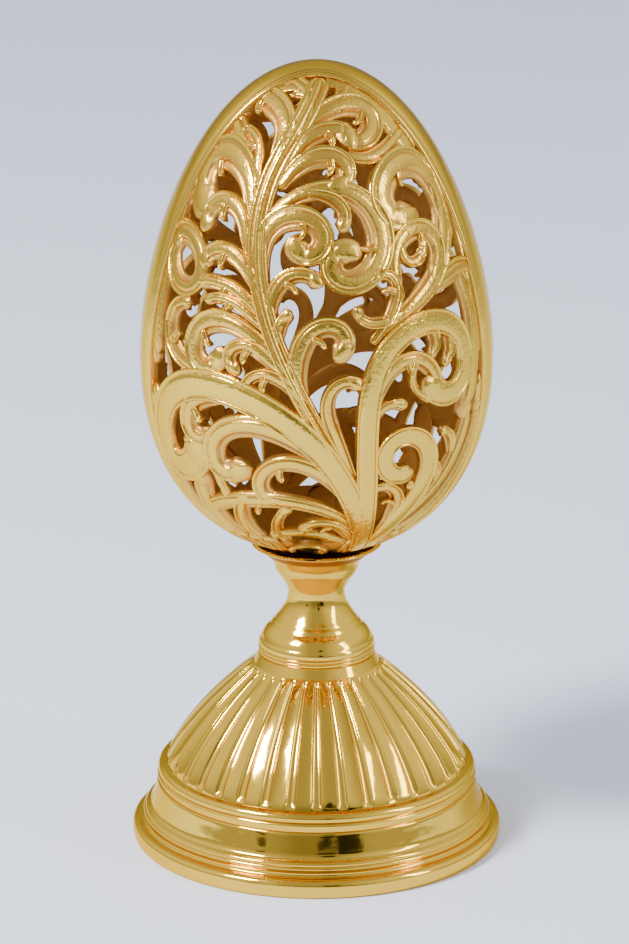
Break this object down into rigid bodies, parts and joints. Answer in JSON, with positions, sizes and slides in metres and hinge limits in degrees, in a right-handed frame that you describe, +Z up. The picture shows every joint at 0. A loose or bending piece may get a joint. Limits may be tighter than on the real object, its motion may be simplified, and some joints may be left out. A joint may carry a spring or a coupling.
{
  "type": "decorative egg",
  "caption": "Gilded openwork metal egg of pierced acanthus scrolls with a smooth band, resting in the cup of a turned stand with a fluted dome and moulded round foot.",
  "frame": {"origin": "middle of the foot's flat underside", "axes": "+Z up along the axis of the stand and the egg, front panel facing -Y, the smooth band crossing the egg at +X and -X"},
  "size_m": [0.0608, 0.0608, 0.13],
  "materials": {
    "gilded_openwork": "polished gold plate, darker gold in the hollows",
    "gilded_stem": "mirror polished gold plate",
    "gilded_base": "mirror polished gold plate"
  },
  "bodies": {
    "root": {"openwork_egg": "gilded_openwork", "cup_and_stem": "gilded_stem", "fluted_base": "gilded_base"}
  },
  "joints": []
}
